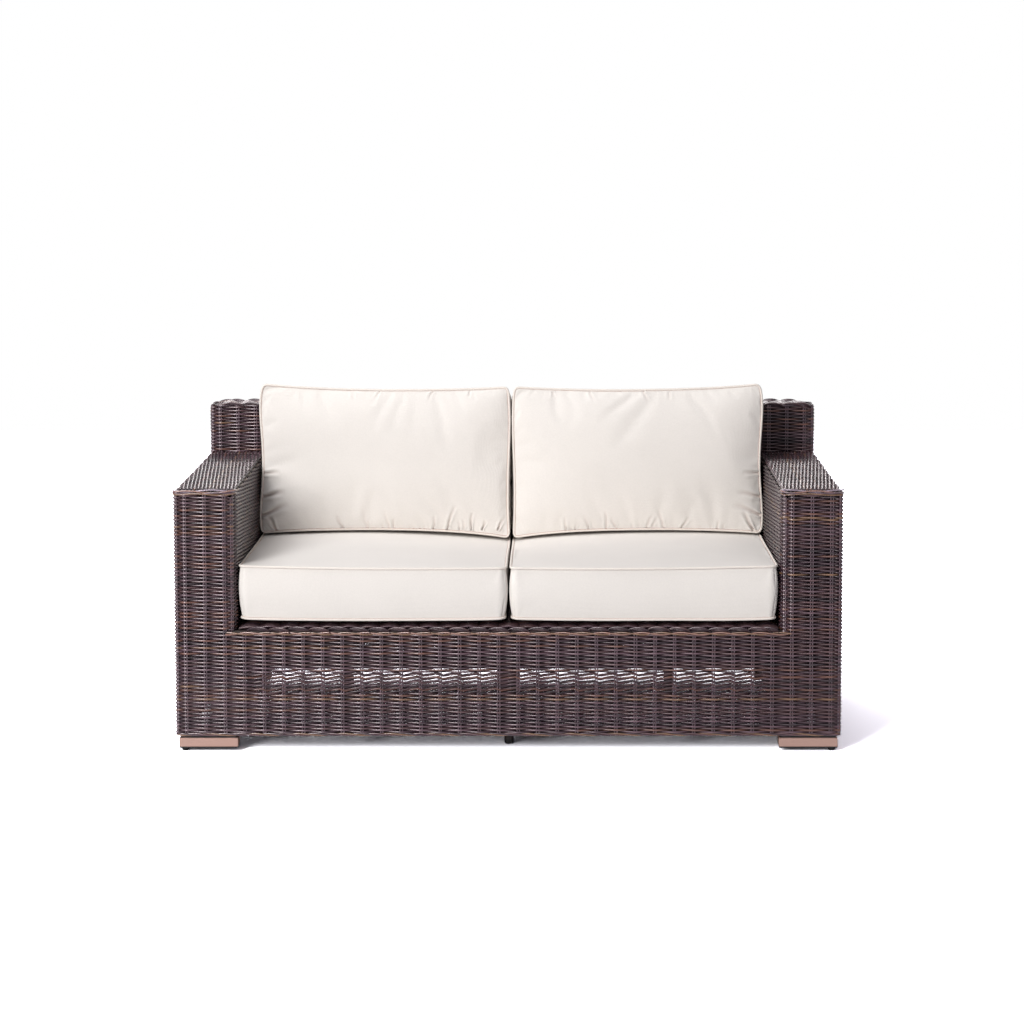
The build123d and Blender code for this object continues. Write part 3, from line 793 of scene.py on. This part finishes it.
def tuck(points, level, tucks):
    """Presses small folds into the high face: each is a line from (u, v) to (u, v), with a width and a
    depth, deepest at its start, with a ridge on each side. It returns the painted shade of the grooves
    for each point."""
    face = points[:, 2] > level
    place = points[face]
    move = np.zeros(len(place))
    shade = np.zeros(len(place))
    for u0, v0, u1, v1, wide, deep in tucks:
        way = np.array([u1 - u0, v1 - v0])
        length = np.hypot(*way)
        way = way / length
        gap = place[:, :2] - (u0, v0)
        run = gap @ way / length
        beside = gap @ np.array([-way[1], way[0]])
        beside = beside + 0.0012 * np.sin(run * 5 + u0 * 90)
        fade = np.clip(1 - run, 0, 1) ** 0.8 * np.clip((run + 0.12) / 0.1, 0, 1)
        width = wide * (0.6 + 0.7 * np.clip(run, 0, 1))
        cut = -np.exp(-((beside / width) ** 2))
        ridge = 0.55 * np.exp(-(((np.abs(beside) - 1.9 * width) / width) ** 2))
        move += 2.0 * deep * (1 + 1.3 * np.clip(1 - run, 0, 1) ** 2) * fade * (cut + ridge)
        # painted shade in the groove, strongest in the deeper folds
        shade = np.maximum(shade, -cut * fade * np.minimum(1, deep / 0.0022))
    points[face, 2] += move
    whole = np.zeros(len(points))
    whole[face] = shade
    return whole


def fabric_material(name, colour, weave_size):
    """Woven cloth with a faint mottle, and painted shade, darker and warmer, in its folds."""
    material, tree, shader = new_material(name)
    place = node(tree, "ShaderNodeTexCoord")
    cloud = mottle(tree, place, 7.0, 3.0, 0.5, 0.96, 1.03)[1]
    fleck = mottle(tree, place, 260.0, 2.0, 0.7, 0.95, 1.05)[1]
    product = node(tree, "ShaderNodeMath", operation="MULTIPLY")
    link(cloud, "Result", product, 0)
    link(fleck, "Result", product, 1)
    shade = shaded(tree, product, "Value", colour)
    painted_fold_shade = node(tree, "ShaderNodeVertexColor", layer_name="painted_fold_shade")
    deep = node(tree, "ShaderNodeMath", operation="MULTIPLY")
    set_inputs(deep, {1: 0.42})
    link(painted_fold_shade, "Color", deep, 0)
    fold_shade_mix = node(tree, "ShaderNodeMix", data_type="RGBA")
    # the painted shade of the folds mixes towards this darker, warmer colour
    set_inputs(fold_shade_mix, {"B": (colour[0] * 0.66, colour[1] * 0.50, colour[2] * 0.46, 1)})
    link(deep, "Value", fold_shade_mix, "Factor")
    link(shade, "Result", fold_shade_mix, "A")
    link(fold_shade_mix, "Result", shader, "Base Color")
    waves = []
    for axis in ("X", "Y", "Z"):
        wave = node(tree, "ShaderNodeTexWave", bands_direction=axis, Scale=weave_size, Distortion=1.2)
        set_inputs(wave, {"Detail": 1.0, "Detail Scale": 3.0})
        link(place, "Object", wave, "Vector")
        waves.append(wave)
    pair = node(tree, "ShaderNodeMath", operation="ADD")
    link(waves[0], "Fac", pair, 0)
    link(waves[1], "Fac", pair, 1)
    threads = node(tree, "ShaderNodeMath", operation="ADD")
    link(pair, "Value", threads, 0)
    link(waves[2], "Fac", threads, 1)
    add_bump(tree, shader, threads, "Value", 0.35, 0.0003)
    set_inputs(shader, {"Roughness": 0.92, "Specular IOR Level": 0.2})
    set_inputs(shader, {"Sheen Weight": 0.15, "Sheen Roughness": 0.6})
    return material


canvas = fabric_material("canvas", (0.84, 0.805, 0.765), 170.0)
welt_cloth = fabric_material("welt_cloth", (0.86, 0.80, 0.74), 260.0)
# pink-brown for the seam lines: partly stitching, partly painted shadow beside the piping
stitch_and_shadow_thread = fabric_material("stitch_and_shadow_thread", (0.60, 0.42, 0.36), 400.0)


# Piping in the seams, and the line of the seam on each side of it, coloured darker than the cloth:
# partly the stitching, partly painted shadow in the seam's ditch
welt_radius = 0.0031
seam_radius = 0.0010


def coords(mesh):
    flat = np.empty(len(mesh.vertices) * 3)
    mesh.vertices.foreach_get("co", flat)
    return flat.reshape(-1, 3)


def run_cloth(piece, pins, cap, frames, pressure, spare):
    """Lets the cover swell between its pinned seams, then keeps the result in the mesh. cap
    is the furthest that a point may move, and spare the share by which the cloth shrinks."""
    group = piece.vertex_groups.new(name="seams")
    group.add([int(i) for i in pins], 1.0, "REPLACE")
    before = coords(piece.data)
    cloth = piece.modifiers.new("cloth", "CLOTH")
    settings = cloth.settings
    settings.quality = 5
    settings.mass = 0.3
    settings.tension_stiffness = settings.compression_stiffness = 12
    settings.shear_stiffness = 6
    settings.bending_stiffness = 2.0
    settings.use_pressure = True
    settings.uniform_pressure_force = pressure
    settings.shrink_min = spare
    settings.effector_weights.gravity = 0
    settings.vertex_group_mass = "seams"
    settings.pin_stiffness = 1.0
    cloth.collision_settings.use_self_collision = False
    cloth.point_cache.frame_start = 1
    cloth.point_cache.frame_end = frames
    for number in range(1, frames + 1):
        scene.frame_set(number)
    graph = bpy.context.evaluated_depsgraph_get()
    move = coords(piece.evaluated_get(graph).to_mesh()) - before
    piece.evaluated_get(graph).to_mesh_clear()
    piece.modifiers.remove(cloth)
    piece.vertex_groups.clear()
    scene.frame_set(1)
    length = np.linalg.norm(move, axis=1)
    scale = cap * np.tanh(length / cap) / np.maximum(length, 1e-9)
    placed = before + move * scale[:, None]
    piece.data.vertices.foreach_set("co", placed.ravel())
    piece.data.update()


# Places of the cushions and of their zips
cushion_middle = 0.3435
cushion_width = 0.6715
twin_gap = 0.0012
arm_reach = 0.6862
seat_zip_z = 0.4013
back_zip_y = 0.2850


def rest_height(x):
    """The height at which a back cushion rests on its seat cushion, lower at the corners."""
    outer = np.clip((np.abs(x) - 0.48) / 0.20, 0, 1)
    inner = np.clip((0.24 - np.abs(x)) / 0.23, 0, 1)
    return 0.4776 - 0.009 * outer**2 - 0.023 * inner**2


def make_cushion(name, origin, axes, shape, tucks, limits, seed, swell):
    """One cushion: its cover, and the welts sewn into its two seams."""
    points, quads, low_rim, high_rim = cushion_shape(*shape)
    boxing = shape[2][1]
    local = np.random.default_rng(seed)
    # gentle unevenness, kept off the seams
    away = np.ones(len(points))
    away[low_rim] = 0
    away[high_rim] = 0
    for _ in range(6):
        k = local.normal(0, 11, 3)
        phase = local.uniform(0, 6.3)
        points[:, 2] += away * 0.0008 * np.sin(points @ k + phase)
    turn = np.array(axes, dtype=float)
    place = np.array(origin)
    mesh = mesh_from(name, points @ turn + place, quads)
    piece = new_object(name, mesh, canvas, name)
    run_cloth(piece, np.concatenate([low_rim, high_rim]), *swell)
    smooth = piece.modifiers.new("smooth", "SUBSURF")
    smooth.levels = smooth.render_levels = 1
    bpy.context.view_layer.objects.active = piece
    with bpy.context.temp_override(object=piece, active_object=piece):
        bpy.ops.object.modifier_apply(modifier="smooth")
    piece.data.polygons.foreach_set("use_smooth", np.full(len(piece.data.polygons), True))
    points = (coords(piece.data) - place) @ turn.T
    # the grooves' painted shade goes into a colour attribute
    shade = tuck(points, boxing + 0.0005, tucks)
    layer = piece.data.color_attributes.new("painted_fold_shade", "FLOAT_COLOR", "POINT")
    layer.data.foreach_set("color", np.repeat(shade, 4))
    placed = limits(points @ turn + place)
    piece.data.vertices.foreach_set("co", placed.ravel())
    piece.data.update()
    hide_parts(f"{name}_cover", f"{name}_core")

    welts = Strands()
    seam = Strands()
    for rim, face in ((low_rim, -1), (high_rim, 1)):
        loop = placed[rim]
        loop = (np.roll(loop, 1, axis=0) + 2 * loop + np.roll(loop, -1, axis=0)) / 4
        ahead = np.roll(loop, -1, axis=0) - np.roll(loop, 1, axis=0)
        ahead /= np.linalg.norm(ahead, axis=1)[:, None]
        through = np.tile(turn[2], (len(loop), 1))
        out = np.cross(ahead, through)
        centre = loop.mean(axis=0)
        facing = np.sign(np.einsum("ij,ij->i", out, loop - centre))
        out *= facing[:, None] / np.linalg.norm(out, axis=1)[:, None]
        side = np.cross(ahead, out)
        middles = loop + out * 0.0022 + through * face * 0.0008
        welts.add(middles, out, side, welt_radius, (1, 1, 1), sides=10, closed=True)
        # the seam lines beside the piping, darker as painted shadow
        for way in (-1, 1):
            ditch = loop + through * face * 0.0016 * way - out * 0.0002 * (1 + way)
            ditch = ditch + out * 0.0014 * (1 - way) / 2
            seam.add(ditch, out, side, seam_radius, (1, 1, 1), closed=True)
    for lines, part, cloth in ((welts, "piping", welt_cloth), (seam, "seams", stitch_and_shadow_thread)):
        mesh = mesh_from(f"{name}_{part}", np.concatenate(lines.points), np.concatenate(lines.quads))
        sewn = new_object(f"{name}_{part}", mesh, cloth, name)
        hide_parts(f"{name}_welts")


def zip_band(x, across):
    """One over a zip's tape and just beyond it, nought elsewhere."""
    run = np.clip((0.2830 - np.abs(np.abs(x) - cushion_middle)) / 0.006, 0, 1)
    return run * np.clip((0.0200 - np.abs(across)) / 0.004, 0, 1)


def seat_limits(placed):
    """Keeps a seat cushion off the arms, its twin, the deck, the back and what rests on it,
    and lets its zip show at the rear."""
    x, y, z = placed.T
    x = np.sign(x) * np.clip(np.abs(x), twin_gap, arm_reach)
    y = np.clip(y, -0.4490, 0.3390 - 0.0026 * zip_band(x, z - seat_zip_z))
    z = np.maximum(z, 0.3226)
    under = np.clip((y - 0.02) / 0.09, 0, 1)
    under = under * under * (3 - 2 * under)
    top = rest_height(x) - 0.0004
    z = np.where(z > top, z * (1 - under) + top * under, z)
    return np.column_stack([x, y, z])


def back_limits(placed):
    """Keeps a back cushion off the arms, its twin, the back and the seat cushion, and lets
    its zip show below."""
    x, y, z = placed.T
    x = np.sign(x) * np.clip(np.abs(x), twin_gap, arm_reach)
    y = np.minimum(y, 0.3437)
    low = rest_height(x) + 0.0006
    z = np.maximum(z, low + (0.4828 - low) * zip_band(x, y - back_zip_y))
    return np.column_stack([x, y, z])


# Folds sewn in along the lower seam of each back cushion: place at the seam, place at the
# far end, length, width and depth, in millimetres from the cushion's middle
left_tucks = [
    (-116, -135, 42, 3.2, 2.8), (-50, -46, 32, 3.0, 2.0),
    (-52, -60, 58, 4.0, 1.2), (23, 22, 34, 3.0, 2.1),
    (10, -3, 58, 4.0, 1.3), (-10, -12, 20, 2.8, 1.1),
    (65, 65, 12, 2.4, 1.2), (77, 76, 10, 2.4, 1.1),
    (93, 93, 12, 2.4, 1.2), (105, 106, 12, 2.4, 1.1),
    (117, 117, 12, 2.4, 1.2), (131, 133, 40, 3.0, 2.7),
    (168, 190, 70, 3.4, 2.6), (201, 200, 26, 2.8, 1.6),
    (213, 214, 34, 3.0, 1.3), (232, 237, 50, 3.0, 2.9),
    (265, 272, 28, 3.2, 2.2), (306, 326, 34, 3.6, 2.0),
    (-300, -322, 40, 4.5, 2.2),
]
right_tucks = [
    (-196, -196, 38, 3.2, 1.8), (-179, -180, 10, 2.4, 1.1),
    (-167, -168, 18, 2.6, 1.3), (-133, -143, 42, 3.2, 1.6),
    (-82, -87, 56, 3.2, 2.7), (-57, -70, 36, 3.0, 1.9),
    (-14, -14, 20, 2.8, 1.2), (4, 6, 22, 2.8, 1.0),
    (25, 40, 42, 3.0, 2.0), (40, 55, 38, 3.0, 1.6),
    (72, 59, 60, 3.4, 2.0), (120, 142, 38, 3.2, 2.0),
    (172, 172, 12, 2.4, 1.1), (201, 202, 15, 2.4, 1.1),
    (218, 225, 26, 2.8, 1.7), (236, 238, 18, 2.6, 1.2),
    (318, 288, 52, 4.5, 2.8),
]
half_back = 0.1895


def back_tucks(rows, side):
    """The sewn folds, some faint ones along the top, and creases where the arm presses."""
    folds = []
    for foot, tip, length, wide, deep in rows:
        start = -half_back - 0.002
        folds.append((foot / 1000, start, tip / 1000, start + length / 1000, wide / 1000, deep / 1000))
    for foot, tip, length in ((-88, -84, 26), (-18, -30, 34), (128, 118, 30), (232, 226, 18)):
        start, end = half_back - 0.004, half_back - length / 1000
        folds.append((-side * foot / 1000, start, -side * tip / 1000, end, 0.0034, 0.0011))
    for foot, reach, tip, wide, deep in (
        (-0.036, 0.285, -0.034, 0.0042, 0.0026),
        (-0.100, 0.270, -0.086, 0.0055, 0.0024),
        (-0.150, 0.262, -0.120, 0.0060, 0.0022),
    ):
        folds.append((side * 0.334, foot, side * reach, tip, wide, deep))
    return folds


def no_lift(p, q):
    """A seam that stays level."""
    return 0.0 * p


for side, side_name in ((-1, "left"), (1, "right")):
    middle = side * cushion_middle

    def top_lift(p, q, side=side):
        """The seat's top seam rises at the front corners and sinks under the back cushion."""
        outer = ((1 + side * p) / 2) ** 2
        inner = ((1 - side * p) / 2) ** 2
        front = np.clip((-0.1 - q) / 0.9, 0, 1) ** 2
        rear = np.clip((q + 0.5) / 0.9, 0, 1)
        rear = rear * rear * (3 - 2 * rear)
        return outer * (0.008 * front - 0.006 * rear) + inner * (0.003 * front - 0.021 * rear)

    def bottom_lift(p, q):
        """The seat's lower front seam curls up at its ends."""
        return 0.003 * np.abs(p) ** 6 * np.clip((-q - 0.4) / 0.6, 0, 1)

    zero = (0.0, 0.0)
    sizes = cushion_width, 0.780, (0.015, 0.1317, 0.010), 0.018
    low_sides = ((-0.003, -0.003), (-0.003, -0.003), (-0.010, -0.010), zero)
    high_sides = (zero, zero, (-0.002, 0.0, 0.002, 0.0, -0.002), zero)
    make_cushion(
        f"seat_cushion_{side_name}",
        (middle, -0.0527, 0.3376),
        [[1, 0, 0], [0, 1, 0], [0, 0, 1]],
        (*sizes, low_sides, high_sides, (bottom_lift, top_lift), 0.0080, 0.0075),
        [],
        seat_limits,
        11 + side,
        (0.008, 16, 2.0, 0.004),
    )
    # the right cushion's values run the other way
    outer_side = (0.001, 0.001, -0.004, 0.001, -0.005)
    inner_side = (-0.001, -0.004, -0.002, 0.001, -0.004)
    droop = (0.009, 0.001, 0.0, 0.005, 0.022)[::-side]
    crest = (0.015, 0.004, 0.0, 0.001, 0.007)[::-side]
    rear_crest = (-0.032, -0.038, -0.041, -0.039, -0.035)[::-side]
    left_side, right_side = (outer_side, inner_side)[::-side]
    sizes = cushion_width, 2 * half_back, (0.019, 0.185, 0.022), 0.009
    low_sides = (zero, zero, droop, rear_crest)
    high_sides = (left_side, right_side, droop, crest)
    make_cushion(
        f"back_cushion_{side_name}",
        (middle, 0.325, 0.6735),
        [[1, 0, 0], [0, 0, 1], [0, -1, 0]],
        (*sizes, low_sides, high_sides, (no_lift, no_lift), 0.005, 0.0062),
        back_tucks(left_tucks if side < 0 else right_tucks, side),
        back_limits,
        31 + side,
        (0.014, 16, 3.2, -0.006),
    )


# Finishes of the rigid pieces


def coated_material(name, colour, roughness, metallic, speckle, size):
    """A plain finish with a fine speckle."""
    material, tree, shader = new_material(name)
    place = node(tree, "ShaderNodeTexCoord")
    noise, spread = mottle(tree, place, size, 3.0, 0.6, 1 - speckle, 1 + speckle)
    shade = shaded(tree, spread, "Result", colour)
    link(shade, "Result", shader, "Base Color")
    add_bump(tree, shader, noise, "Fac", 0.15, 0.0002)
    set_inputs(shader, {"Roughness": roughness, "Metallic": metallic})
    return material


finishes = {
    "frame": coated_material("frame_coat", (0.055, 0.042, 0.040), 0.5, 0.0, 0.2, 220.0),
    "foot_metal": coated_material("foot_metal", (0.60, 0.39, 0.33), 0.38, 0.55, 0.10, 420.0),
    "black_plastic": coated_material("black_plastic", (0.012, 0.012, 0.014), 0.45, 0.0, 0.3, 300.0),
    "fastener_steel": coated_material("fastener_steel", (0.50, 0.50, 0.51), 0.35, 1.0, 0.1, 300.0),
    "zip": coated_material("zip_tape", (0.72, 0.68, 0.60), 0.8, 0.0, 0.15, 900.0),
    "zip_slider": coated_material("zip_slider", (0.55, 0.52, 0.48), 0.3, 1.0, 0.1, 300.0),
}
slots = {row["node"]: row["material_slot"] for row in frame["record"]["subparts"]}
for name, piece in nodes.items():
    if slots.get(name) in finishes:
        piece.data.materials.clear()
        piece.data.materials.append(finishes[slots[name]])

# Floor, world, lights and camera

bpy.ops.mesh.primitive_plane_add(size=13, location=(0, 0, 0))
floor = bpy.context.object
floor.name = "floor"
floor_white, tree, shader = new_material("floor_white")
tree.nodes.remove(shader)
# the camera sees the floor brighter than it lights the seat, so that it ends in white
matt = node(tree, "ShaderNodeBsdfDiffuse", Color=(0.78, 0.78, 0.79, 1))
clean = node(tree, "ShaderNodeBsdfDiffuse", Color=(4.6, 4.65, 4.95, 1))
rays = node(tree, "ShaderNodeLightPath")
blend = node(tree, "ShaderNodeMixShader")
link(rays, "Is Camera Ray", blend, "Fac")
link(matt, "BSDF", blend, 1)
link(clean, "BSDF", blend, 2)
link(blend, "Shader", tree.nodes["Material Output"], "Surface")
floor.data.materials.append(floor_white)

# The world is white to the camera, partly so in reflections, and dim as a light
world = bpy.data.worlds.new("world")
scene.world = world
world.use_nodes = True
tree = world.node_tree
dim = tree.nodes["Background"]
set_inputs(dim, {"Color": (0.96, 0.90, 0.94, 1), "Strength": 0.16})
white = node(tree, "ShaderNodeBackground", Strength=1.0, Color=(1, 1, 1, 1))
rays = node(tree, "ShaderNodeLightPath")
shine = node(tree, "ShaderNodeMath", operation="MULTIPLY")
set_inputs(shine, {1: 0.22})
link(rays, "Is Glossy Ray", shine, 0)
seen = node(tree, "ShaderNodeMath", operation="MAXIMUM")
link(rays, "Is Camera Ray", seen, 0)
link(shine, "Value", seen, 1)
blend = node(tree, "ShaderNodeMixShader")
link(seen, "Value", blend, "Fac")
link(dim, "Background", blend, 1)
link(white, "Background", blend, 2)
link(blend, "Shader", tree.nodes["World Output"], "Surface")


def area_light(name, place, target, size, power, colour):
    """A rectangle of light that faces its target."""
    data = bpy.data.lights.new(name, "AREA")
    data.shape = "RECTANGLE"
    data.size, data.size_y = size
    data.energy = power
    data.color = colour
    lamp = bpy.data.objects.new(name, data)
    lamp.location = place
    lamp.rotation_euler = (Vector(target) - Vector(place)).to_track_quat("-Z", "Y").to_euler()
    scene.collection.objects.link(lamp)


area_light("key", (-4.5, -8.1, 4.6), (0, 0, 0.4), (3.0, 5.0), 740, (1.0, 0.985, 0.97))
area_light("fill", (3.4, -6.0, 1.6), (0.3, 0, 0.4), (2.0, 2.0), 12, (0.80, 0.86, 1.0))
area_light("top", (-1.7, -0.6, 4.2), (0, 0, 0.3), (2.4, 2.4), 85, (0.98, 0.98, 1.0))
area_light("rear", (0.0, 5.2, 3.9), (0, 0, 0.5), (4.0, 1.4), 110, (1.0, 0.98, 0.97))

lens = bpy.data.cameras.new("camera")
lens.sensor_width = 36.0
lens.lens = 99.28
lens.shift_x = -0.0367
lens.shift_y = -0.1631
camera = bpy.data.objects.new("camera", lens)
camera.location = (0.1045, front_y - 7.0634, 1.6574)
camera.rotation_euler = (math.radians(85.0), 0, 0)
scene.collection.objects.link(camera)
scene.camera = camera
scene.view_settings.view_transform = "Standard"
